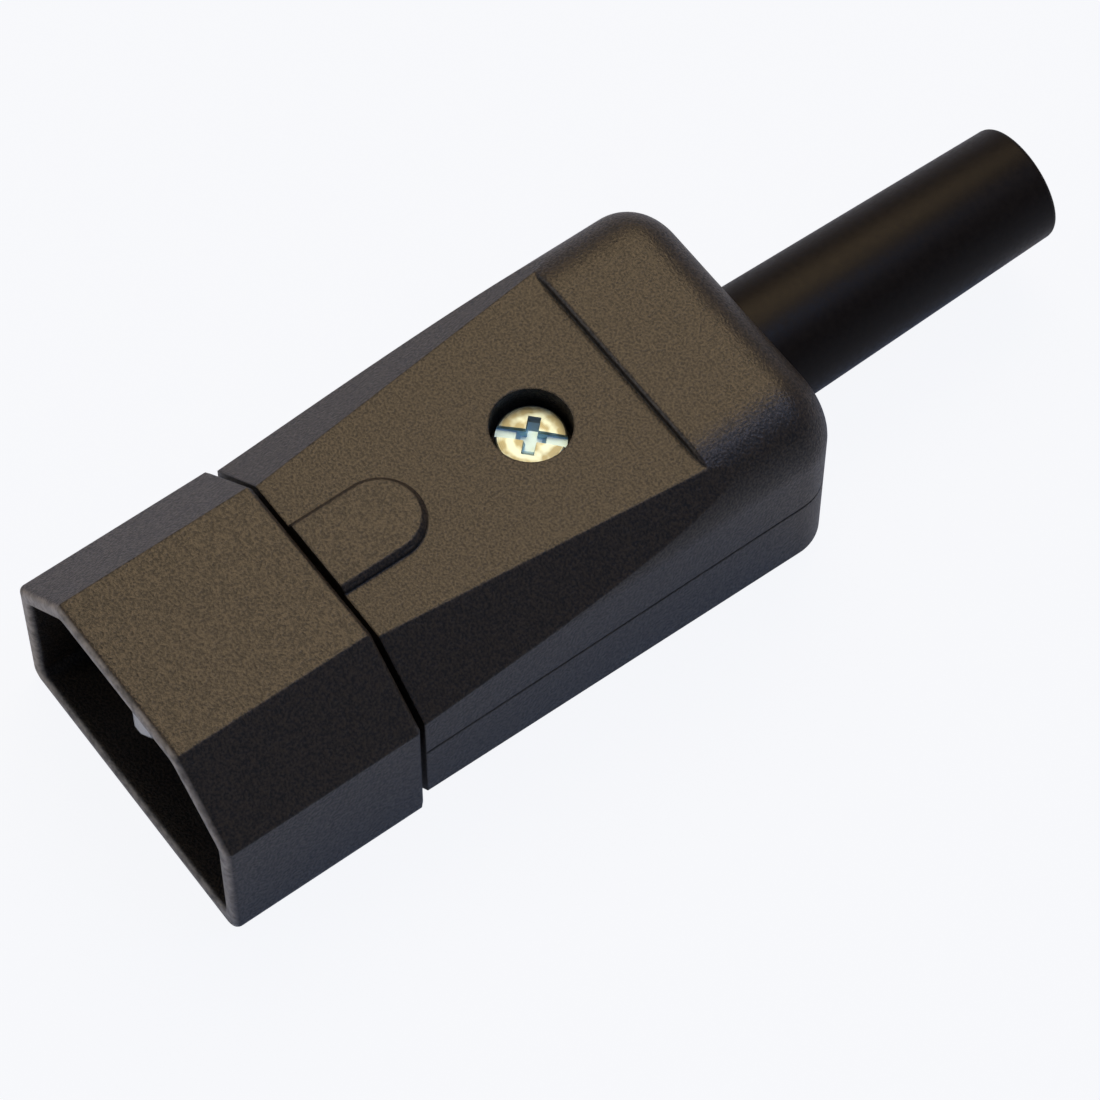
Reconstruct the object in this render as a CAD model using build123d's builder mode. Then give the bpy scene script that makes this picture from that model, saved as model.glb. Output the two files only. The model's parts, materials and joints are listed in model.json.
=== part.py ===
from build123d import *
import os
from math import hypot

os.makedirs("parts", exist_ok=True)

# Driving dimensions in millimetres
# Stations are distances behind the front rim of the shroud
overall_length = 86.5

# Shroud, the mating end of the contact carrier
shroud_length = 17.5
shroud_width = 28.0
shroud_height = 19.4
shroud_bevel = 6.2
shroud_wall = 1.5
recess_depth = 16.3
recess_corner_round = 1.0
recess_mouth_round = 0.5
shroud_corner_round = 1.4
rim_round = 0.6
shroud_edge_bevel = 0.3

# Contact pins: flat blades with a square pillar that holds the wire
blade_width = 2.0
blade_height = 4.0
blade_bevel = 0.6
pin_spacing = 14.0
power_pin_height = 7.85
earth_pin_raise = 4.0
power_tip_recess = 3.4
earth_tip_recess = 1.3
pillar_width = 5.2
pillar_height = 5.2
pillar_length = 8.0
earth_pillar_drop = 1.5
pillar_edge_bevel = 0.3
wire_hole_diameter = 3.0
wire_hole_depth = 6.6
terminal_screw_setback = 4.4
terminal_screw_diameter = 3.0
terminal_screw_reach = 0.3
terminal_head_diameter = 4.6
terminal_head_height = 1.5

# Half shells
shroud_gap = 0.55
body_length = 39.95
body_width = 27.2
rear_block_height = 19.3
panel_sink = 0.8
panel_front_margin = 5.65
panel_step_margin = 2.65
facet_drop = 5.4
step_station = 46.1
step_edge_bevel = 0.2
side_round = 5.5
rear_round = 4.0
underside_lift = 1.1
underside_bevel = 1.2
seam_height = 8.5
seam_bevel = 0.15
shell_wall = 1.8
front_wall = 1.5
keeper_rib_height = 0.8
keeper_rib_thickness = 1.5

# Raised pad on the panel
pad_width = 7.2
pad_length = 9.35
pad_rise = 0.75
pad_edge_bevel = 0.45

# Contact carrier behind the shroud
neck_inset = 3.0
flange_thickness = 1.5
base_thickness = 6.3
barrier_block_length = 9.6
slip_clearance = 0.15

# Housing screw and its captive nut
housing_screw_station = 37.85
well_diameter = 6.5
head_sink = 1.5
head_diameter = 5.6
head_height = 2.0
head_edge_bevel = 0.4
housing_screw_diameter = 3.0
housing_screw_length = 12.0
screw_hole_clearance = 0.2
thread_clearance = 0.05
boss_wall = 1.5
nut_across_flats = 5.5
nut_thickness = 2.4
nut_overlap = 2.1

# Recesses in the screw heads
drive_width = 0.8
drive_depth = 1.0
cross_length = 3.4
slot_angle = 44.0

# Cable clamp
cable_diameter = 7.0
cable_squeeze = 0.2
clamp_station = 47.8
clamp_side_margin = 5.7
clamp_bar_width = 5.6
clamp_bar_thickness = 2.2
clamp_arch_wall = 2.2
clamp_post_diameter = 5.8
clamp_post_rise = 0.5
cradle_thickness = 2.0
clamp_screw_diameter = 2.9
clamp_screw_length = 8.0
clamp_head_diameter = 5.2
clamp_head_height = 1.8

# Strain relief sleeve
sleeve_root_diameter = 11.2
sleeve_end_diameter = 10.0
sleeve_bore_clearance = 0.2
sleeve_end_bevel = 0.5
collar_diameter = 13.2
collar_thickness = 3.0
collar_clearance = 0.1
collar_lip_thickness = 1.5
collar_lip_height = 2.0
rear_wall = 2.0
sleeve_exit_clearance = 0.3

# Stations and heights that follow from the driving dimensions
body_start = shroud_length + shroud_gap
body_end = body_start + body_length
flange_start = body_start + front_wall
rib_start = flange_start + flange_thickness
rib_end = rib_start + keeper_rib_thickness
compartment_start = recess_depth + base_thickness
carrier_end = compartment_start + barrier_block_length
collar_end = body_end - rear_wall
collar_start = collar_end - collar_thickness
cavity_end = collar_start - collar_lip_thickness
panel_height = rear_block_height - panel_sink
facet_low = panel_height - facet_drop
head_seat_height = panel_height - head_sink - head_height
screw_tip_height = head_seat_height - housing_screw_length
nut_seat_height = screw_tip_height + nut_overlap
clamp_post_top = seam_height + clamp_post_rise
clamp_screw_spacing = body_width - 2 * clamp_side_margin
clamp_bar_length = clamp_screw_spacing + clamp_post_diameter
clamp_opening = cable_diameter - 2 * cable_squeeze
block_inset = shell_wall + keeper_rib_height + slip_clearance
pillar_lift = {"line": 0, "neutral": 0, "earth": earth_pin_raise - earth_pillar_drop}
blade_lift = {"line": 0, "neutral": 0, "earth": earth_pin_raise}
tip_recess = {"line": power_tip_recess, "neutral": power_tip_recess, "earth": earth_tip_recess}
pin_side = {"line": pin_spacing / 2, "neutral": -pin_spacing / 2, "earth": 0}


def station(distance):
    """Y of a point that lies this far behind the front rim."""
    return distance - overall_length / 2


def across(distance):
    """Cross-section plane at a station. Its sketches are extruded forward, towards the rim."""
    return Plane.XZ.offset(-station(distance))


def underside(distance):
    """Height of the sloping underside of the shells at a station."""
    return underside_lift * (body_end - distance) / body_length


def panel_half(distance):
    """Half width of the wedge-shaped top panel at a station."""
    margin_change = (panel_step_margin - panel_front_margin) / (step_station - body_start)
    return body_width / 2 - panel_front_margin - margin_change * (distance - body_start)


def shroud_outline():
    """Outline of the shroud: a rectangle with its two top corners bevelled."""
    half = shroud_width / 2
    Polygon(
        (-half, 0),
        (half, 0),
        (half, shroud_height - shroud_bevel),
        (half - shroud_bevel, shroud_height),
        (shroud_bevel - half, shroud_height),
        (-half, shroud_height - shroud_bevel),
        align=None,
    )


def body_outline(inset):
    """Bevelled section of the shells at their front end, drawn inward by inset."""
    half = body_width / 2
    panel = panel_half(body_start)
    Polygon(
        (-half, underside_lift),
        (half, underside_lift),
        (half, facet_low),
        (panel, panel_height),
        (-panel, panel_height),
        (-half, facet_low),
        align=None,
    )
    offset(amount=-inset, kind=Kind.INTERSECTION)


def facet_wedge(side, distance, inset):
    """Triangle outside one side facet, whose long edge is the facet's line at a station."""
    run = panel_front_margin
    slope = hypot(run, facet_drop)
    foot = (panel_half(distance) - inset * facet_drop / slope, panel_height - inset * run / slope)
    high = (foot[0] - run, foot[1] + facet_drop)
    low = (foot[0] + 2 * run, foot[1] - 2 * facet_drop)
    points = [high, low, (low[0], high[1])]
    Polygon(*[(side * x, z) for x, z in points], align=None)


def housing_form(inset, start, stop):
    """Form of both shells together, moved inward by inset, between two stations."""
    top = rear_block_height - inset
    with BuildPart() as form:
        with BuildSketch(Plane.YZ):
            Polygon(
                (station(start), underside(start) + inset),
                (station(stop), underside(stop) + inset),
                (station(stop), top),
                (station(start), top),
                align=None,
            )
        extrude(amount=body_width / 2 - inset, both=True)
        top_sides = form.edges().filter_by(Axis.Y).group_by(Axis.Z)[-1]
        fillet(top_sides, radius=side_round - inset)
        with BuildSketch(across(step_station + inset)):
            with Locations((0, panel_height - inset)):
                Rectangle(body_width, rear_block_height, align=(Align.CENTER, Align.MIN))
        extrude(amount=body_length, mode=Mode.SUBTRACT)
        if inset == 0:
            step_face = form.faces().filter_by(Axis.Y).sort_by(Axis.Y)[1]
            chamfer(step_face.edges().sort_by(Axis.Z)[-1], length=step_edge_bevel)
        for side in (1, -1):
            with BuildSketch(across(start)):
                facet_wedge(side, start, inset)
            with BuildSketch(across(stop)):
                facet_wedge(side, stop, inset)
            loft(mode=Mode.SUBTRACT)
    return form.part


# Outer form of the housing, with its rear corners and underside rounded
with BuildPart() as outer_form:
    add(housing_form(0, body_start, body_end))
    rear_outline = outer_form.faces().sort_by(Axis.Y)[-1].edges().sort_by(Axis.Z)[1:]
    fillet(rear_outline, radius=rear_round)
    underside_outline = outer_form.faces().sort_by(Axis.Z)[0].edges().sort_by(Axis.Y)[1:]
    chamfer(underside_outline, length=underside_bevel)

# Hollow of the housing: the groove for the flange, the keeper rib behind it and the wiring space
with BuildPart() as hollow:
    add(housing_form(shell_wall, flange_start, cavity_end))
    with BuildSketch(across(rib_end)):
        body_outline(0)
    extrude(amount=keeper_rib_thickness, mode=Mode.SUBTRACT)
    with BuildSketch(across(rib_end)):
        body_outline(shell_wall + keeper_rib_height)
    extrude(amount=keeper_rib_thickness)
    with BuildSketch(across(flange_start)):
        body_outline(neck_inset - slip_clearance)
    extrude(amount=front_wall)

# Stepped bore at the rear of the housing: lip, groove for the collar, and exit
with BuildPart() as sleeve_seat:
    with BuildSketch(across(collar_start)):
        with Locations((0, seam_height)):
            Circle(collar_diameter / 2 - collar_lip_height)
    extrude(amount=collar_lip_thickness)
    with BuildSketch(across(collar_end)):
        with Locations((0, seam_height)):
            Circle(collar_diameter / 2 + collar_clearance)
    extrude(amount=collar_thickness)
    with BuildSketch(across(body_end)):
        with Locations((0, seam_height)):
            Circle(sleeve_root_diameter / 2 + sleeve_exit_clearance)
    extrude(amount=rear_wall)

# Contact carrier: shroud, base, neck, flange and terminal compartments in one moulding
with BuildPart() as contact_carrier:
    with BuildSketch(across(shroud_length)) as shroud:
        shroud_outline()
        fillet(shroud.vertices().group_by(Axis.Y)[0], radius=shroud_corner_round)
    extrude(amount=shroud_length)
    fillet(contact_carrier.faces().sort_by(Axis.Y)[0].edges(), radius=rim_round)
    chamfer(contact_carrier.faces().sort_by(Axis.Y)[-1].edges(), length=shroud_edge_bevel)
    with BuildSketch(across(recess_depth)) as recess:
        shroud_outline()
        offset(amount=-shroud_wall, kind=Kind.INTERSECTION)
        fillet(recess.vertices(), radius=recess_corner_round)
    extrude(amount=recess_depth, mode=Mode.SUBTRACT)
    recess_mouth = contact_carrier.faces().sort_by(Axis.Y)[0].inner_wires()[0]
    fillet(recess_mouth.edges(), radius=recess_mouth_round)
    with BuildSketch(across(flange_start)):
        body_outline(neck_inset)
    extrude(amount=flange_start - shroud_length)
    with BuildSketch(across(rib_start)):
        body_outline(shell_wall + slip_clearance)
    extrude(amount=flange_thickness)
    with BuildSketch(across(carrier_end)):
        body_outline(block_inset)
    extrude(amount=carrier_end - rib_start)
    for name, side in pin_side.items():
        pillar_middle = power_pin_height + pillar_lift[name]
        blade_middle = power_pin_height + blade_lift[name]
        with BuildSketch(across(carrier_end)):
            with Locations((side, pillar_middle - pillar_height / 2)):
                Rectangle(pillar_width + 2 * slip_clearance, shroud_height, align=(Align.CENTER, Align.MIN))
        extrude(amount=barrier_block_length, mode=Mode.SUBTRACT)
        with BuildSketch(across(compartment_start)):
            with Locations((side, blade_middle)):
                Rectangle(blade_width, blade_height)
        extrude(amount=base_thickness, mode=Mode.SUBTRACT)
contact_carrier.part.label = "contact_carrier"
export_step(contact_carrier.part, "parts/contact_carrier.step")

# Contact pins, each one piece with its terminal pillar
for name, side in pin_side.items():
    pillar_middle = power_pin_height + pillar_lift[name]
    blade_middle = power_pin_height + blade_lift[name]
    with BuildPart() as pin:
        with BuildSketch(across(compartment_start + pillar_length)):
            with Locations((side, pillar_middle)):
                Rectangle(pillar_width, pillar_height)
        extrude(amount=pillar_length)
        chamfer(pin.edges().filter_by(Axis.Y), length=pillar_edge_bevel)
        with BuildSketch(across(compartment_start)):
            with Locations((side, blade_middle)):
                Rectangle(blade_width, blade_height)
        extrude(amount=compartment_start - tip_recess[name])
        tip_edges = pin.faces().sort_by(Axis.Y)[0].edges()
        chamfer(tip_edges, length=blade_bevel)
        with BuildSketch(across(compartment_start + pillar_length)):
            with Locations((side, pillar_middle)):
                Circle(wire_hole_diameter / 2)
        extrude(amount=wire_hole_depth, mode=Mode.SUBTRACT)
        with BuildSketch(Plane.XY.offset(pillar_middle + pillar_height / 2)):
            with Locations((side, station(compartment_start + terminal_screw_setback))):
                Circle(terminal_screw_diameter / 2 + thread_clearance)
        extrude(amount=-(pillar_height / 2 + terminal_screw_reach), mode=Mode.SUBTRACT)
    pin.part.label = f"{name}_pin"
    export_step(pin.part, f"parts/{name}_pin.step")

# Slotted terminal screws, seated on their pillars
for name, side in pin_side.items():
    pillar_top = power_pin_height + pillar_lift[name] + pillar_height / 2
    head_top = pillar_top + terminal_head_height
    screw_place = (side, station(compartment_start + terminal_screw_setback))
    with BuildPart() as terminal_screw:
        with BuildSketch(Plane.XY.offset(pillar_top)):
            with Locations(screw_place):
                Circle(terminal_head_diameter / 2)
        extrude(amount=terminal_head_height)
        with BuildSketch(Plane.XY.offset(pillar_top)):
            with Locations(screw_place):
                Circle(terminal_screw_diameter / 2)
        extrude(amount=-(pillar_height / 2 + terminal_screw_reach))
        with BuildSketch(Plane.XY.offset(head_top)):
            with Locations(screw_place):
                Rectangle(terminal_head_diameter, drive_width)
        extrude(amount=-drive_depth, mode=Mode.SUBTRACT)
    terminal_screw.part.label = f"{name}_terminal_screw"
    export_step(terminal_screw.part, f"parts/{name}_terminal_screw.step")

# Upper shell, with the sunken panel, the raised pad and the well for the screw
with BuildPart() as upper_shell:
    add(outer_form.part)
    split(bisect_by=Plane.XY.offset(seam_height), keep=Keep.TOP)
    seam_edges = upper_shell.faces().sort_by(Axis.Z)[0].edges().sort_by(Axis.Y)[1:]
    chamfer(seam_edges, length=seam_bevel)
    pad_straight = pad_length - pad_width / 2
    with BuildSketch(Plane.XY.offset(panel_height)):
        with Locations((0, station(body_start))):
            Rectangle(pad_width, pad_straight, align=(Align.CENTER, Align.MIN))
        with Locations((0, station(body_start + pad_straight))):
            Circle(pad_width / 2)
    extrude(amount=pad_rise)
    pad_top = upper_shell.faces().filter_by(Axis.Z).sort_by(Axis.Z)[-2]
    chamfer(pad_top.edges().sort_by(Axis.Y)[1:], length=pad_edge_bevel)
    add(hollow.part, mode=Mode.SUBTRACT)
    with BuildSketch(Plane.XY.offset(seam_height)):
        with Locations((0, station(housing_screw_station))):
            Circle(well_diameter / 2 + boss_wall)
    extrude(amount=panel_height - seam_height - shell_wall)
    with Locations((0, station(housing_screw_station), panel_height)):
        CounterBoreHole(
            radius=housing_screw_diameter / 2 + screw_hole_clearance,
            counter_bore_radius=well_diameter / 2,
            counter_bore_depth=head_sink + head_height,
        )
    add(sleeve_seat.part, mode=Mode.SUBTRACT)
upper_shell.part.label = "upper_shell"
export_step(upper_shell.part, "parts/upper_shell.step")

# Lower shell, with the nut pocket, the posts of the clamp and the cradle under the cable
with BuildPart() as lower_shell:
    add(outer_form.part)
    split(bisect_by=Plane.XY.offset(seam_height), keep=Keep.BOTTOM)
    seam_edges = lower_shell.faces().sort_by(Axis.Z)[-1].edges().sort_by(Axis.Y)[1:]
    chamfer(seam_edges, length=seam_bevel)
    add(hollow.part, mode=Mode.SUBTRACT)
    with BuildSketch(Plane.XY.offset(shell_wall)):
        with Locations((0, station(housing_screw_station))):
            Circle(well_diameter / 2 + boss_wall)
    extrude(amount=seam_height - shell_wall)
    with BuildSketch(Plane.XY.offset(shell_wall)):
        with Locations((0, station(clamp_station))):
            with GridLocations(clamp_screw_spacing, 0, 2, 1):
                Circle(clamp_post_diameter / 2)
    extrude(amount=clamp_post_top - shell_wall)
    with BuildSketch(across(clamp_station + cradle_thickness / 2)):
        with Locations((0, shell_wall)):
            Rectangle(
                clamp_screw_spacing,
                seam_height - shell_wall,
                align=(Align.CENTER, Align.MIN),
            )
        with Locations((0, seam_height)):
            Circle(clamp_opening / 2, mode=Mode.SUBTRACT)
    extrude(amount=cradle_thickness)
    with BuildSketch(Plane.XY.offset(clamp_post_top)):
        with Locations((0, station(clamp_station))):
            with GridLocations(clamp_screw_spacing, 0, 2, 1):
                Circle(clamp_screw_diameter / 2 + thread_clearance)
    extrude(amount=clamp_bar_thickness - clamp_screw_length, mode=Mode.SUBTRACT)
    with BuildSketch(Plane.XY):
        with Locations((0, station(housing_screw_station))):
            RegularPolygon(nut_across_flats / 2 + slip_clearance, 6, major_radius=False)
    extrude(amount=nut_seat_height, mode=Mode.SUBTRACT)
    with BuildSketch(Plane.XY.offset(seam_height)):
        with Locations((0, station(housing_screw_station))):
            Circle(housing_screw_diameter / 2 + screw_hole_clearance)
    extrude(amount=nut_seat_height - seam_height, mode=Mode.SUBTRACT)
    add(sleeve_seat.part, mode=Mode.SUBTRACT)
lower_shell.part.label = "lower_shell"
export_step(lower_shell.part, "parts/lower_shell.step")

# Housing screw with a combination head: a slot and a cross
with BuildPart() as housing_screw:
    head_top = head_seat_height + head_height
    screw_place = (0, station(housing_screw_station))
    with BuildSketch(Plane.XY.offset(head_seat_height)):
        with Locations(screw_place):
            Circle(head_diameter / 2)
    extrude(amount=head_height)
    top_edge = housing_screw.faces().sort_by(Axis.Z)[-1].edges()
    chamfer(top_edge, length=head_edge_bevel)
    with BuildSketch(Plane.XY.offset(head_seat_height)):
        with Locations(screw_place):
            Circle(housing_screw_diameter / 2)
    extrude(amount=-housing_screw_length)
    with BuildSketch(Plane.XY.offset(head_top)):
        with Locations(screw_place):
            Rectangle(head_diameter, drive_width, rotation=slot_angle)
            Rectangle(drive_width, cross_length, rotation=slot_angle)
    extrude(amount=-drive_depth, mode=Mode.SUBTRACT)
housing_screw.part.label = "housing_screw"
export_step(housing_screw.part, "parts/housing_screw.step")

# Captive hexagon nut against the roof of its pocket
with BuildPart() as housing_nut:
    with BuildSketch(Plane.XY.offset(nut_seat_height)):
        with Locations((0, station(housing_screw_station))):
            RegularPolygon(nut_across_flats / 2, 6, major_radius=False)
            Circle(housing_screw_diameter / 2 + thread_clearance, mode=Mode.SUBTRACT)
    extrude(amount=-nut_thickness)
housing_nut.part.label = "housing_nut"
export_step(housing_nut.part, "parts/housing_nut.step")

# Cable clamp: a saddle bar with an arch over the cable
with BuildPart() as cable_clamp:
    arch_radius = clamp_opening / 2 + clamp_arch_wall
    with BuildSketch(across(clamp_station + clamp_bar_width / 2)):
        with Locations((0, clamp_post_top)):
            Rectangle(clamp_bar_length, clamp_bar_thickness, align=(Align.CENTER, Align.MIN))
        with Locations((0, seam_height)):
            Circle(arch_radius)
            Circle(clamp_opening / 2, mode=Mode.SUBTRACT)
        with Locations((0, clamp_post_top)):
            Rectangle(
                clamp_bar_length,
                2 * arch_radius,
                align=(Align.CENTER, Align.MAX),
                mode=Mode.SUBTRACT,
            )
    extrude(amount=clamp_bar_width)
    bar_ends = cable_clamp.edges().filter_by(Axis.Z)
    fillet(bar_ends, radius=clamp_bar_width / 2 - slip_clearance)
    with BuildSketch(Plane.XY.offset(clamp_post_top)):
        with Locations((0, station(clamp_station))):
            with GridLocations(clamp_screw_spacing, 0, 2, 1):
                Circle(clamp_screw_diameter / 2 + screw_hole_clearance)
    extrude(amount=clamp_bar_thickness, mode=Mode.SUBTRACT)
cable_clamp.part.label = "cable_clamp"
export_step(cable_clamp.part, "parts/cable_clamp.step")

# Clamp screws with crossed recesses
for name, side in (("left", -1), ("right", 1)):
    clamp_top = clamp_post_top + clamp_bar_thickness
    screw_place = (side * clamp_screw_spacing / 2, station(clamp_station))
    with BuildPart() as clamp_screw:
        with BuildSketch(Plane.XY.offset(clamp_top)):
            with Locations(screw_place):
                Circle(clamp_head_diameter / 2)
        extrude(amount=clamp_head_height)
        with BuildSketch(Plane.XY.offset(clamp_top)):
            with Locations(screw_place):
                Circle(clamp_screw_diameter / 2)
        extrude(amount=-clamp_screw_length)
        with BuildSketch(Plane.XY.offset(clamp_top + clamp_head_height)):
            with Locations(screw_place):
                Rectangle(cross_length, drive_width)
                Rectangle(drive_width, cross_length)
        extrude(amount=-drive_depth, mode=Mode.SUBTRACT)
    clamp_screw.part.label = f"clamp_screw_{name}"
    export_step(clamp_screw.part, f"parts/clamp_screw_{name}.step")

# Strain relief sleeve: a collar inside the housing and a tapered tube behind it
with BuildPart() as cable_sleeve:
    root = sleeve_root_diameter / 2
    end = sleeve_end_diameter / 2
    bore = cable_diameter / 2 + sleeve_bore_clearance
    with BuildSketch(Plane.YZ):
        with BuildLine():
            Polyline(
                (station(collar_start), seam_height + bore),
                (station(collar_start), seam_height + collar_diameter / 2),
                (station(collar_end), seam_height + collar_diameter / 2),
                (station(collar_end), seam_height + root),
                (station(body_end), seam_height + root),
                (station(overall_length), seam_height + end),
                (station(overall_length), seam_height + bore),
                close=True,
            )
        make_face()
    revolve(axis=Axis((0, 0, seam_height), (0, 1, 0)))
    end_rim = cable_sleeve.faces().sort_by(Axis.Y)[-1].edges().sort_by(SortBy.RADIUS)[-1]
    chamfer(end_rim, length=sleeve_end_bevel)
cable_sleeve.part.label = "cable_sleeve"
export_step(cable_sleeve.part, "parts/cable_sleeve.step")
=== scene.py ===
import json
from math import pi, radians

import bmesh
import bpy
from mathutils import Matrix, Vector


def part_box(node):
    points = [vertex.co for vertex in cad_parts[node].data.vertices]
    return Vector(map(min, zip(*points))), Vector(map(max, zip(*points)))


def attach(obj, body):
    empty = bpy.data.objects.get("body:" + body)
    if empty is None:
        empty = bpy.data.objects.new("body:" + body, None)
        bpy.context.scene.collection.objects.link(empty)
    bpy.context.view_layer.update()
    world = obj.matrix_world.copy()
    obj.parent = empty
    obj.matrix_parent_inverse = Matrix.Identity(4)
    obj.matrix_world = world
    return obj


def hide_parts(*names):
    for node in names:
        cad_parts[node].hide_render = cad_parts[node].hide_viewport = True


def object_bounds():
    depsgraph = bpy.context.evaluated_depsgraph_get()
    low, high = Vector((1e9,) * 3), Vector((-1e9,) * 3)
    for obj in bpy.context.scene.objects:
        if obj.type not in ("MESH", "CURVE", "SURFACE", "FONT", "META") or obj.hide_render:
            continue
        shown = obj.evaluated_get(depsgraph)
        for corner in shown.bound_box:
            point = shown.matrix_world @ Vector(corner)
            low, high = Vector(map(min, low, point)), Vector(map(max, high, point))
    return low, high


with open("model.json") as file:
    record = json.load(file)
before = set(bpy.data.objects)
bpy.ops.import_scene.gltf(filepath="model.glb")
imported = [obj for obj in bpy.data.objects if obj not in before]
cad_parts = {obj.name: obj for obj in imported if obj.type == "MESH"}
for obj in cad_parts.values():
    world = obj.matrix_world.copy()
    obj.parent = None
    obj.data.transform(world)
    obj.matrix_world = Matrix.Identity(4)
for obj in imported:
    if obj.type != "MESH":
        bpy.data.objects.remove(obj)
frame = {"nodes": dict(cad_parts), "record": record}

# %% [markdown]
# A rewireable appliance plug lies on a pale table. Its black mouldings come from the
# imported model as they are. This lesson gives them their finish, builds the pieces that
# the model holds only in plain form, and sets up the camera and the lamps.

# %% Sizes that everything below shares
MM = 0.001
cad_low, cad_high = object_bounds()
print("model box in mm:", [round(v / MM, 1) for v in (*cad_low, *cad_high)])

# %% [markdown]
# The photograph was taken from above and beside the open end, with a long lens. The
# camera stands where straight edges of the plug fall on the photograph's edges. The
# optical axis does not pass through the middle of the picture, so the lens is shifted.

# %% Camera
IMAGE_PX = 1100
FOCAL_PX = 4701.7
OPTICAL_CENTRE_PX = (513.8, 463.6)
CAMERA_PLACE = Vector((147.77, -113.80, 322.95)) * MM
CAMERA_RIGHT = Vector((0.5919, 0.8060, -0.0046))
CAMERA_UP = Vector((-0.6925, 0.5115, 0.5087))

camera_data = bpy.data.cameras.new("camera")
camera = bpy.data.objects.new("camera", camera_data)
bpy.context.scene.collection.objects.link(camera)
turn = Matrix((CAMERA_RIGHT, CAMERA_UP, CAMERA_RIGHT.cross(CAMERA_UP))).transposed()
camera.matrix_world = Matrix.Translation(CAMERA_PLACE) @ turn.to_4x4()
camera_data.lens = camera_data.sensor_width * FOCAL_PX / IMAGE_PX
camera_data.shift_x = 0.5 - OPTICAL_CENTRE_PX[0] / IMAGE_PX
camera_data.shift_y = OPTICAL_CENTRE_PX[1] / IMAGE_PX - 0.5
camera_data.clip_start = 10 * MM
camera_data.clip_end = 20
bpy.context.scene.camera = camera
print("lens in mm:", round(camera_data.lens, 1))

# %% [markdown]
# Three small helpers serve every material. Colours are written as sRGB hex values, as a
# colour picker shows them, and turned to the linear values that shaders add up.

# %% Helpers for materials


def colour(hex_value):
    """Linear RGBA of an sRGB hex colour."""
    parts = [int(hex_value[i : i + 2], 16) / 255 for i in (1, 3, 5)]
    return (*[p / 12.92 if p <= 0.04045 else ((p + 0.055) / 1.055) ** 2.4 for p in parts], 1.0)


def add(tree, kind, sockets=(), **settings):
    """One more node. Sockets take values or the outputs of other nodes."""
    node = tree.nodes.new(kind)
    for name, value in settings.items():
        setattr(node, name, value)
    for name, value in dict(sockets).items():
        if isinstance(value, bpy.types.NodeSocket):
            tree.links.new(value, node.inputs[name])
        else:
            node.inputs[name].default_value = value
    return node


def new_material(name):
    """An empty material with its output, ready for a surface shader."""
    material = bpy.data.materials.new(name)
    material.use_nodes = True
    material.node_tree.nodes.clear()
    output = add(material.node_tree, "ShaderNodeOutputMaterial")
    return material, material.node_tree, output


# %% [markdown]
# The housing is black polyamide. Its mould was spark-eroded, which leaves a matt grain of
# about a tenth of a millimetre. That would vanish in the render, so it is drawn twice as
# coarse, and it breaks the gloss into fine warm speckles. Moulded edges are never
# knife-sharp, so a Bevel node rounds the shading of each edge by a quarter of a millimetre,
# which costs no faces. Connectors that are pushed on rub the rim of the shroud smooth, so its
# grain fades there. The rim is also painted pale, a painted highlight for the line of light it
# catches. Both fade out over 0.4 mm and come and go in patches.

# %% Material: spark-eroded black polyamide
GRAIN_MM = 0.21
GRAIN_DEPTH_MM = 0.065
BLOTCH_MM = 0.9
EDGE_ROUND_MM = 0.25
# depth over which the rim's painted highlight and its smoothing fade out
RIM_HIGHLIGHT_MM = 0.4

polyamide, tree, output = new_material("spark_eroded_black_polyamide")
place = add(tree, "ShaderNodeTexCoord").outputs["Object"]
grain = add(
    tree,
    "ShaderNodeTexNoise",
    {"Vector": place, "Scale": 1 / (GRAIN_MM * MM), "Detail": 2.0, "Roughness": 0.55},
)
blotch = add(
    tree,
    "ShaderNodeTexNoise",
    {"Vector": place, "Scale": 1 / (BLOTCH_MM * MM), "Detail": 2.0, "Roughness": 0.6},
)
speckle = add(
    tree,
    "ShaderNodeMapRange",
    {"Value": grain.outputs["Fac"], "From Min": 0.36, "From Max": 0.64},
)
tone = add(
    tree,
    "ShaderNodeMix",
    {"Factor": speckle.outputs["Result"], 6: colour("#0e0c0a"), 7: colour("#3a3229")},
    data_type="RGBA",
)
gloss = add(
    tree,
    "ShaderNodeMapRange",
    {
        "Value": grain.outputs["Fac"],
        "From Min": 0.35,
        "From Max": 0.65,
        "To Min": 0.48,
        "To Max": 0.35,
    },
)
# patches in which the rim's painted highlight and smoothing are stronger or weaker
rim_highlight_patches = add(
    tree,
    "ShaderNodeMapRange",
    {
        "Value": blotch.outputs["Fac"],
        "From Min": 0.35,
        "From Max": 0.65,
        "To Min": 0.3,
        "To Max": 0.9,
    },
)
spot = add(tree, "ShaderNodeSeparateXYZ", {"Vector": place})
rim = add(
    tree,
    "ShaderNodeMapRange",
    {
        "Value": spot.outputs["Y"],
        "From Min": cad_low.y + RIM_HIGHLIGHT_MM * MM,
        "From Max": cad_low.y,
        "To Max": rim_highlight_patches.outputs["Result"],
    },
)
texture = add(tree, "ShaderNodeMath", {0: 1.0, 1: rim.outputs["Result"]}, operation="SUBTRACT")
edge = add(tree, "ShaderNodeBevel", {"Radius": EDGE_ROUND_MM * MM}, samples=4)
relief = add(
    tree,
    "ShaderNodeBump",
    {
        "Height": grain.outputs["Fac"],
        "Strength": texture.outputs[0],
        "Distance": GRAIN_DEPTH_MM * MM,
        "Normal": edge.outputs["Normal"],
    },
)
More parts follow.
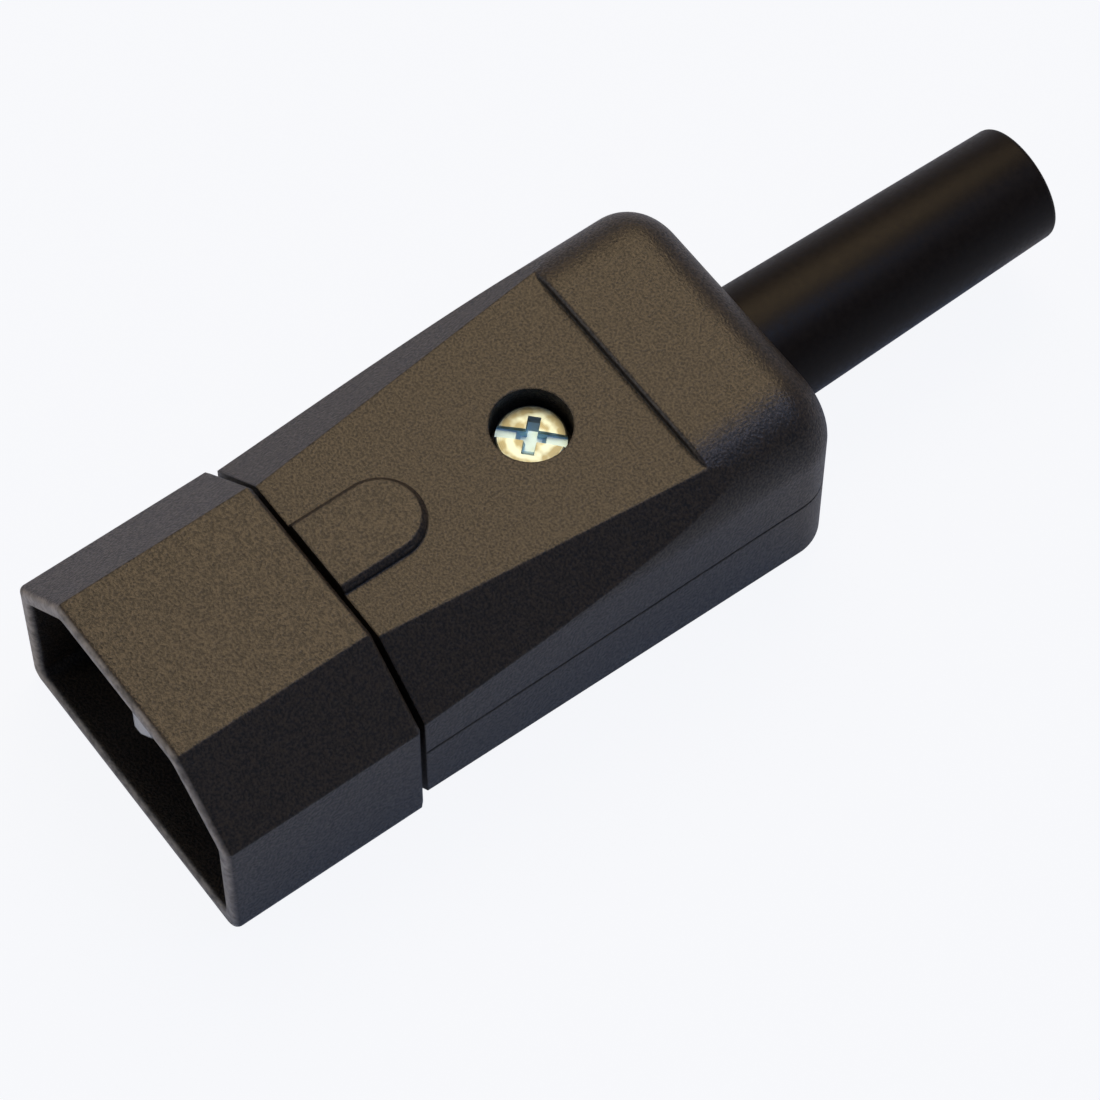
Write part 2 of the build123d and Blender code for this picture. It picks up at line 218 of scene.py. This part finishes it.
# the rim's colour is painted pale: a painted highlight, not a colour of the plastic
rim_highlight_tone = add(
    tree,
    "ShaderNodeMix",
    {"Factor": rim.outputs["Result"], 6: tone.outputs[2], 7: colour("#b0a9a1")},
    data_type="RGBA",
)
surface = add(
    tree,
    "ShaderNodeBsdfPrincipled",
    {
        "Base Color": rim_highlight_tone.outputs[2],
        "Roughness": gloss.outputs["Result"],
        "IOR": 1.53,
        "Specular IOR Level": 0.42,
        "Normal": relief.outputs["Normal"],
    },
)
tree.links.new(surface.outputs["BSDF"], output.inputs["Surface"])

# %% [markdown]
# The sleeve is soft PVC, blacker and smoother than the housing. Its plasticiser gives a
# waxy skin that reflects little from straight on and more along the tube's sides.

# %% Material: soft black PVC
SKIN_MM = 0.5
SKIN_DEPTH_MM = 0.02

soft_pvc, tree, output = new_material("soft_black_pvc")
place = add(tree, "ShaderNodeTexCoord").outputs["Object"]
skin = add(
    tree,
    "ShaderNodeTexNoise",
    {"Vector": place, "Scale": 1 / (SKIN_MM * MM), "Detail": 3.0, "Roughness": 0.6},
)
tone = add(
    tree,
    "ShaderNodeMix",
    {"Factor": skin.outputs["Fac"], 6: colour("#141110"), 7: colour("#221e1b")},
    data_type="RGBA",
)
gloss = add(
    tree,
    "ShaderNodeMapRange",
    {
        "Value": skin.outputs["Fac"],
        "From Min": 0.3,
        "From Max": 0.7,
        "To Min": 0.36,
        "To Max": 0.48,
    },
)
relief = add(
    tree,
    "ShaderNodeBump",
    {"Height": skin.outputs["Fac"], "Strength": 0.6, "Distance": SKIN_DEPTH_MM * MM},
)
surface = add(
    tree,
    "ShaderNodeBsdfPrincipled",
    {
        "Base Color": tone.outputs[2],
        "Roughness": gloss.outputs["Result"],
        "IOR": 1.52,
        "Specular IOR Level": 0.10,
        "Normal": relief.outputs["Normal"],
    },
)
tree.links.new(surface.outputs["BSDF"], output.inputs["Surface"])

# %% [markdown]
# The contact pins are brass with bright nickel plating: a smooth, slightly warm grey
# metal with faint marks from drawing along their length. The tips were coined round, which
# a Bevel node gives in the shading, so that they catch the light deep in the recess.

# %% Material: nickel-plated brass
DRAW_MARK_MM = 0.25
DRAW_MARK_LENGTH_MM = 6.0
PIN_EDGE_MM = 0.3

nickel, tree, output = new_material("nickel_plated_brass")
place = add(tree, "ShaderNodeTexCoord").outputs["Object"]
across_marks = 1 / (DRAW_MARK_MM * MM)
along_marks = 1 / (DRAW_MARK_LENGTH_MM * MM)
stretch = add(
    tree,
    "ShaderNodeMapping",
    {"Vector": place, "Scale": (across_marks, along_marks, across_marks)},
)
marks = add(
    tree,
    "ShaderNodeTexNoise",
    {"Vector": stretch.outputs["Vector"], "Scale": 1.0, "Detail": 2.0},
)
gloss = add(
    tree,
    "ShaderNodeMapRange",
    {"Value": marks.outputs["Fac"], "To Min": 0.16, "To Max": 0.32},
)
edge = add(tree, "ShaderNodeBevel", {"Radius": PIN_EDGE_MM * MM}, samples=4)
surface = add(
    tree,
    "ShaderNodeBsdfPrincipled",
    {
        "Base Color": colour("#e6e2da"),
        "Metallic": 1.0,
        "Roughness": gloss.outputs["Result"],
        "Normal": edge.outputs["Normal"],
    },
)
tree.links.new(surface.outputs["BSDF"], output.inputs["Surface"])

# %% [markdown]
# Screws and nut are steel with bright zinc plating and a yellow passivation, which dries
# in clouds: tan yellow here, pale bluish white there, and that pale share is partly thinner film
# and partly painted glint.
# The heads are turned, so fine rings run round the screw's axis. The real rings are a few
# hundredths of a millimetre apart and are drawn four times as coarse. A Mapping node
# centres them on the screw. Broad rings round the axis are painted brighter, as painted highlight
# arcs.
# The yellow film lies on the uppermost faces only, and the rougher recesses are painted a pale
# bluish white: plain zinc with a painted reflection of cool light.

# %% Material: zinc-plated steel
CLOUD_MM = 1.1
RING_MM = 0.14
RING_DEPTH_MM = 0.01
# spacing of the broad rings of painted highlight
GLINT_BAND_MM = 1.15
WAVE_LENGTH = 0.314  # distance between two rings of a Wave texture at a scale of 1
FULL_FILM_MM = 0.35
THIN_FILM_MM = 0.42


def zinc_plating(name, axis_x, axis_y, top):
    """Yellow-passivated zinc with turning rings round a vertical axis."""
    material, tree, output = new_material(name)
    place = add(tree, "ShaderNodeTexCoord").outputs["Object"]
    centred = add(tree, "ShaderNodeMapping", {"Vector": place, "Location": (-axis_x, -axis_y, 0)})
    cloud = add(
        tree,
        "ShaderNodeTexNoise",
        {"Vector": place, "Scale": 1 / (CLOUD_MM * MM), "Detail": 2.0, "Roughness": 0.5},
    )
    # broad rings painted brighter: painted highlight arcs on the head
    glint_bands = add(
        tree,
        "ShaderNodeTexWave",
        {
            "Vector": centred.outputs["Vector"],
            "Scale": WAVE_LENGTH / (GLINT_BAND_MM * MM),
            "Distortion": 0.5,
        },
        wave_type="RINGS",
        rings_direction="Z",
    )
    film_and_glint_pattern = add(
        tree,
        "ShaderNodeMath",
        {0: glint_bands.outputs["Fac"], 1: -0.2, 2: cloud.outputs["Fac"]},
        operation="MULTIPLY_ADD",
    )
    film_and_glint_share = add(
        tree,
        "ShaderNodeMapRange",
        {"Value": film_and_glint_pattern.outputs[0], "From Min": 0.25, "From Max": 0.5, "To Min": 0.52},
    )
    height = add(tree, "ShaderNodeSeparateXYZ", {"Vector": place})
    # 0 in the recesses gives their painted reflection colour, on the top the yellow film with
    # painted glints
    film_and_painted_reflection = add(
        tree,
        "ShaderNodeMapRange",
        {
            "Value": height.outputs["Z"],
            "From Min": top - THIN_FILM_MM * MM,
            "From Max": top - FULL_FILM_MM * MM,
            "To Max": film_and_glint_share.outputs["Result"],
        },
    )
    # pale bluish white: painted reflection in the recesses and painted glints on the flats; tan:
    # the yellow film
    tone = add(
        tree,
        "ShaderNodeMix",
        {"Factor": film_and_painted_reflection.outputs["Result"], 6: colour("#c8e6f4"), 7: colour("#8a8b78")},
        data_type="RGBA",
    )
    rings = add(
        tree,
        "ShaderNodeTexWave",
        {
            "Vector": centred.outputs["Vector"],
            "Scale": WAVE_LENGTH / (RING_MM * MM),
            "Distortion": 1.0,
        },
        wave_type="RINGS",
        rings_direction="Z",
    )
    polish = add(
        tree,
        "ShaderNodeMapRange",
        {"Value": cloud.outputs["Fac"], "To Min": 0.3, "To Max": 0.5},
    )
    gloss = add(
        tree,
        "ShaderNodeMapRange",
        {
            "Value": height.outputs["Z"],
            "From Min": top - THIN_FILM_MM * MM,
            "From Max": top - FULL_FILM_MM * MM,
            "To Min": 0.58,
            "To Max": polish.outputs["Result"],
        },
    )
    relief = add(
        tree,
        "ShaderNodeBump",
        {"Height": rings.outputs["Fac"], "Strength": 0.35, "Distance": RING_DEPTH_MM * MM},
    )
    surface = add(
        tree,
        "ShaderNodeBsdfPrincipled",
        {
            "Base Color": tone.outputs[2],
            "Metallic": 1.0,
            "Roughness": gloss.outputs["Result"],
            "Normal": relief.outputs["Normal"],
        },
    )
    tree.links.new(surface.outputs["BSDF"], output.inputs["Surface"])
    return material


# %% [markdown]
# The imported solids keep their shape. Each one's own material slots are emptied and take
# the finish that its record names. Every screw and the nut get the rings round their own
# axis, which is the middle of their box.

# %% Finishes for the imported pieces
FINISH = {
    "housing_plastic": polyamide,
    "sleeve_rubber": soft_pvc,
    "contact_metal": nickel,
}
for part in frame["record"]["subparts"]:
    solid = frame["nodes"][part["node"]]
    solid.data.materials.clear()
    if part["material_slot"] in FINISH:
        solid.data.materials.append(FINISH[part["material_slot"]])
    else:
        low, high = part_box(part["node"])
        middle = (low + high) / 2
        name = "yellow_zinc_plated_steel_" + part["node"]
        solid.data.materials.append(zinc_plating(name, middle.x, middle.y, high.z))
print("finished", len(frame["nodes"]), "packed pieces")

# %% [markdown]
# New pieces start as a bmesh and become an object in the scene. Then they are hung on the
# root body's empty, take their finish, and hide the plain solid that they stand for. One
# helper does this for each piece.

# %% Helper for new pieces
SHARP_ANGLE = radians(35)
MERGE_MM = 0.001  # vertices this close are one, and so are heights


def finish_piece(name, bm, material, node):
    """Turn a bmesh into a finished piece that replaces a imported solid."""
    mesh = bpy.data.meshes.new(name)
    bm.to_mesh(mesh)
    bm.free()
    mesh.shade_smooth()
    mesh.set_sharp_from_angle(angle=SHARP_ANGLE)
    mesh.materials.append(material)
    piece = bpy.data.objects.new(name, mesh)
    bpy.context.scene.collection.objects.link(piece)
    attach(piece, "root")
    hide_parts(node)
    print(name, "has", len(mesh.polygons), "faces")
    return piece


# %% [markdown]
# The strain relief sleeve is one turned shape: half its section is drawn as a ring of
# vertices beside the cable's axis and spun once round. The free end is rounded with a
# bevel afterwards, as soft mouldings never have a sharp rim.

# %% Piece: the strain relief sleeve
SLEEVE_ROOT_MM = 5.6
SLEEVE_END_MM = 5.0
SLEEVE_BORE_MM = 3.7
COLLAR_MM = 6.6
COLLAR_LENGTH_MM = 3.0
HOUSING_END_MM = 14.75
SLEEVE_END_ROUND_MM = 0.45
SLEEVE_STEPS = 96

sleeve_low, sleeve_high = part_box("cable_sleeve")
axis_height = (sleeve_low.z + sleeve_high.z) / 2
start, end = sleeve_low.y, sleeve_high.y
section = [
    (SLEEVE_BORE_MM, start),
    (COLLAR_MM, start),
    (COLLAR_MM, start + COLLAR_LENGTH_MM * MM),
    (SLEEVE_ROOT_MM, start + COLLAR_LENGTH_MM * MM),
    (SLEEVE_ROOT_MM, HOUSING_END_MM * MM),
    (SLEEVE_END_MM, end),
    (SLEEVE_BORE_MM, end),
]
bm = bmesh.new()
ring = [bm.verts.new((0, y, axis_height + radius * MM)) for radius, y in section]
edges = [bm.edges.new((a, b)) for a, b in zip(ring, ring[1:] + ring[:1])]
bmesh.ops.spin(
    bm,
    geom=ring + edges,
    cent=(0, 0, axis_height),
    axis=(0, 1, 0),
    angle=2 * pi,
    steps=SLEEVE_STEPS,
    use_merge=True,
)
bmesh.ops.remove_doubles(bm, verts=bm.verts, dist=MERGE_MM * MM)
end_rims = [e for e in bm.edges if all(abs(v.co.y - end) < MERGE_MM * MM for v in e.verts)]
bmesh.ops.bevel(
    bm,
    geom=end_rims,
    affect="EDGES",
    offset=SLEEVE_END_ROUND_MM * MM,
    segments=4,
    profile=0.5,
    material=-1,
)
bmesh.ops.recalc_face_normals(bm, faces=bm.faces)
if bm.calc_volume(signed=True) < 0:
    bmesh.ops.reverse_faces(bm, faces=bm.faces)
finish_piece("strain_relief_sleeve", bm, soft_pvc, "cable_sleeve")

# %% [markdown]
# The screw that closes the housing has a slightly domed head with two drives in one: a
# straight slot right across it and a cross in the middle. Half its outline is spun round
# the screw's axis, and a small bevel rounds the head's edge. The recesses are cut
# afterwards with Boolean modifiers, because pressed recesses have flat sloping walls that
# no turned shape can give.

# %% Piece: the turned blank of the housing screw
HEAD_HEIGHT_MM = 2.0
SHANK_MM = 1.5
TIP_BEVEL_MM = 0.4
HEAD_ROUND_MM = 0.2
DOME_MM = 0.12
DOME_SHARES = (1, 0.8, 0.6, 0.4, 0.2, 0)
SCREW_STEPS = 72

screw_low, screw_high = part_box("housing_screw")
screw_axis = (screw_low + screw_high) / 2
head_radius = (screw_high.x - screw_low.x) / 2
head_top = screw_high.z
seat = head_top - HEAD_HEIGHT_MM * MM
profile = [
    (0, screw_low.z),
    ((SHANK_MM - TIP_BEVEL_MM) * MM, screw_low.z),
    (SHANK_MM * MM, screw_low.z + TIP_BEVEL_MM * MM),
    (SHANK_MM * MM, seat),
    (head_radius, seat),
    *[(share * head_radius, head_top - share**2 * DOME_MM * MM) for share in DOME_SHARES],
]
bm = bmesh.new()
outline = [bm.verts.new((screw_axis.x + radius, screw_axis.y, z)) for radius, z in profile]
edges = [bm.edges.new((a, b)) for a, b in zip(outline, outline[1:])]
bmesh.ops.spin(
    bm,
    geom=outline + edges,
    cent=(screw_axis.x, screw_axis.y, 0),
    axis=(0, 0, 1),
    angle=2 * pi,
    steps=SCREW_STEPS,
    use_merge=True,
)
bmesh.ops.remove_doubles(bm, verts=bm.verts, dist=MERGE_MM * MM)
bmesh.ops.recalc_face_normals(bm, faces=bm.faces)
rim_height = head_top - DOME_MM * MM
head_rim = [
    e for e in bm.edges if all(abs(v.co.z - rim_height) < MERGE_MM * MM for v in e.verts)
]
bmesh.ops.bevel(
    bm,
    geom=head_rim,
    affect="EDGES",
    offset=HEAD_ROUND_MM * MM,
    segments=5,
    profile=0.5,
    material=-1,
)
screw_finish = frame["nodes"]["housing_screw"].data.materials[0]
screw = finish_piece(
    "combination_head_screw", bm, screw_finish, "housing_screw"
)

# %% [markdown]
# Each cutter is a box whose lower end is narrower, like the punch that pressed the recess.
# The slot's punch is nearly straight. The two punches of the cross are short, deep and
# tapered, and meet in the middle.

# %% Piece: the recesses in the screw's head
SLOT_ANGLE = radians(44)
PUNCHES = {
    # name: length, width, depth, how much of its length and width is left at the bottom, turn
    "slot": (7.0, 1.15, 0.5, 1.0, 0.8, SLOT_ANGLE),
    "cross_along": (4.8, 1.25, 0.9, 0.35, 0.6, SLOT_ANGLE),
    "cross_over": (5.2, 1.28, 0.9, 0.35, 0.6, SLOT_ANGLE + pi / 2),
}
for name, (length, width, depth, keep_length, keep_width, angle) in PUNCHES.items():
    bm = bmesh.new()
    bmesh.ops.create_cube(bm, size=1.0)
    bottom = [v for v in bm.verts if v.co.z < 0]
    bmesh.ops.scale(bm, vec=(keep_length, keep_width, 1), verts=bottom)
    bmesh.ops.scale(bm, vec=(length * MM, width * MM, 2 * depth * MM), verts=bm.verts)
    bmesh.ops.rotate(bm, matrix=Matrix.Rotation(angle, 3, "Z"), verts=bm.verts)
    bmesh.ops.translate(bm, vec=(screw_axis.x, screw_axis.y, head_top), verts=bm.verts)
    punch_mesh = bpy.data.meshes.new(name)
    bm.to_mesh(punch_mesh)
    bm.free()
    punch = bpy.data.objects.new(name, punch_mesh)
    bpy.context.scene.collection.objects.link(punch)
    cut = screw.modifiers.new(name, "BOOLEAN")
    cut.operation = "DIFFERENCE"
    cut.object = punch
bpy.context.view_layer.update()
cut_screw = screw.evaluated_get(bpy.context.evaluated_depsgraph_get())
cut_mesh = bpy.data.meshes.new_from_object(cut_screw)
screw.modifiers.clear()
screw.data = cut_mesh
for name in PUNCHES:
    bpy.data.objects.remove(bpy.data.objects[name])
print("screw with recesses:", len(screw.data.polygons), "faces")

# %% [markdown]
# The captive nut shows from below. A real nut has its corners turned off, so they end in
# small curved facets. Here a six-sided prism with a bore is made, and the corners' tips are
# bevelled.

# %% Piece: the captive nut
THREAD_MM = 1.55
CORNER_BEVEL_MM = 0.3
RIM_TURN = radians(60)

nut_low, nut_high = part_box("housing_nut")
nut_middle = (nut_low + nut_high) / 2
nut_height = nut_high.z - nut_low.z
corner_radius = (nut_high.x - nut_low.x) / 2
bm = bmesh.new()
for radius, segments in ((corner_radius, 6), (THREAD_MM * MM, 48)):
    bmesh.ops.create_circle(bm, cap_ends=False, segments=segments, radius=radius)
bmesh.ops.rotate(bm, matrix=Matrix.Rotation(pi / 6, 3, "Z"), verts=bm.verts)
bmesh.ops.triangle_fill(bm, edges=bm.edges, use_beauty=True)
base = bm.faces[:]
bmesh.ops.translate(bm, vec=(nut_middle.x, nut_middle.y, nut_low.z), verts=bm.verts)
grown = bmesh.ops.extrude_face_region(bm, geom=base, use_keep_orig=True)
upper = [g for g in grown["geom"] if isinstance(g, bmesh.types.BMVert)]
bmesh.ops.translate(bm, vec=(0, 0, nut_height), verts=upper)
bmesh.ops.recalc_face_normals(bm, faces=bm.faces)
print("nut corners reach", round(max(v.co.x for v in bm.verts) / MM, 2), "mm in x")
rims = [
    e
    for e in bm.edges
    if abs(e.verts[0].co.z - e.verts[1].co.z) < MERGE_MM * MM
    and len(e.link_faces) == 2
    and e.calc_face_angle() > RIM_TURN
    and all((v.co.xy - nut_middle.xy).length > 0.9 * corner_radius for v in e.verts)
]
bmesh.ops.bevel(
    bm,
    geom=rims,
    affect="EDGES",
    offset=CORNER_BEVEL_MM * MM,
    segments=2,
    profile=0.5,
    material=-1,
)
nut_finish = frame["nodes"]["housing_nut"].data.materials[0]
finish_piece("captive_nut", bm, nut_finish, "housing_nut")

# %% [markdown]
# The table and the wall around it are plain and pale. To the camera they glow almost
# white, as a well-lit paper backdrop does, and in reflections they glow too, but dimmer and
# a little cooler, as the shaded side of a room. For all other light they are plain matt
# surfaces, so they throw no extra light on the plug and keep its soft shadow.

# %% Table and backdrop
TABLE_HALF_M = 2.5
WALL_HEIGHT_M = 0.6
TABLE_DROP_MM = 0.02  # keeps the table's surface clear of the plug's underside
SEEN_GLOW = 0.94
MIRRORED_GLOW = 0.3

paper, tree, output = new_material("white_paper_backdrop")
matt = add(tree, "ShaderNodeBsdfPrincipled", {"Base Color": colour("#d3dbec"), "Roughness": 0.8})
ray = add(tree, "ShaderNodeLightPath")
mirrored = add(
    tree,
    "ShaderNodeMath",
    {0: ray.outputs["Is Glossy Ray"], 1: ray.outputs["Is Transmission Ray"]},
    operation="MAXIMUM",
)
glow_tone = add(
    tree,
    "ShaderNodeMix",
    {"Factor": mirrored.outputs[0], 6: colour("#fbfcff"), 7: colour("#ced7ee")},
    data_type="RGBA",
)
glow = add(tree, "ShaderNodeEmission", {"Color": glow_tone.outputs[2], "Strength": 1.0})
mirrored_share = add(
    tree,
    "ShaderNodeMath",
    {0: mirrored.outputs[0], 1: MIRRORED_GLOW},
    operation="MULTIPLY",
)
seen_share = add(
    tree,
    "ShaderNodeMath",
    {0: ray.outputs["Is Camera Ray"], 1: SEEN_GLOW},
    operation="MULTIPLY",
)
share = add(
    tree,
    "ShaderNodeMath",
    {0: mirrored_share.outputs[0], 1: seen_share.outputs[0]},
    operation="MAXIMUM",
)
blend = add(
    tree,
    "ShaderNodeMixShader",
    {0: share.outputs[0], 1: matt.outputs["BSDF"], 2: glow.outputs["Emission"]},
)
tree.links.new(blend.outputs["Shader"], output.inputs["Surface"])

bm = bmesh.new()
bmesh.ops.create_grid(bm, x_segments=1, y_segments=1, size=TABLE_HALF_M)
bmesh.ops.translate(bm, verts=bm.verts, vec=(0, 0, -TABLE_DROP_MM * MM))
wall = bmesh.ops.extrude_edge_only(bm, edges=bm.edges[:])
wall_top = [g for g in wall["geom"] if isinstance(g, bmesh.types.BMVert)]
bmesh.ops.translate(bm, verts=wall_top, vec=(0, 0, WALL_HEIGHT_M))
table_mesh = bpy.data.meshes.new("table_and_backdrop")
bm.to_mesh(table_mesh)
bm.free()
table_mesh.materials.append(paper)
table = bpy.data.objects.new("table_and_backdrop", table_mesh)
bpy.context.scene.collection.objects.link(table)

# %% [markdown]
# Black plastic shows its shape by what it mirrors, so each lamp has a face of the plug to
# light. A warm soft lamp hangs behind and above, opposite the camera, where the flat top
# mirrors it, and only what faces up shines. A cool lamp, like a window, stands where the
# rounded rear corner mirrors it. A weak lamp low in front draws the line along the rim.
# The rest of the room is dim, which leaves the bevels that face the camera dark.

# %% Lamps and room


def lamp(name, direction, size, power, tint):
    """A square area lamp that looks at the plug from a direction."""
    data = bpy.data.lights.new(name, "AREA")
    data.size = size
    data.energy = power
    data.color = colour(tint)[:3]
    lamp_object = bpy.data.objects.new(name, data)
    towards = Vector(direction).normalized()
    lamp_object.location = towards * LAMP_DISTANCE_M
    lamp_object.rotation_euler = towards.to_track_quat("Z", "Y").to_euler()
    bpy.context.scene.collection.objects.link(lamp_object)
    print(name, "gives", power, "W over", size, "m")


LAMP_DISTANCE_M = 1.2
# name, direction, size in metres, power in watts, tint
lamp("soft_key", (-0.42, 0.31, 0.85), 0.9, 10.5, "#ffe0b0")
lamp("cool_window", (0.28, 0.32, 0.90), 0.45, 3.0, "#a8c8ff")
lamp("low_front_lamp", (-0.42, -0.85, 0.30), 0.6, 3.0, "#f6f2ee")

ROOM_LIGHT = 0.16
world = bpy.data.worlds.new("dim_room")
world.use_nodes = True
background = world.node_tree.nodes["Background"]
background.inputs["Color"].default_value = colour("#aabbdc")
background.inputs["Strength"].default_value = ROOM_LIGHT
bpy.context.scene.world = world
bpy.context.scene.view_settings.view_transform = "Standard"
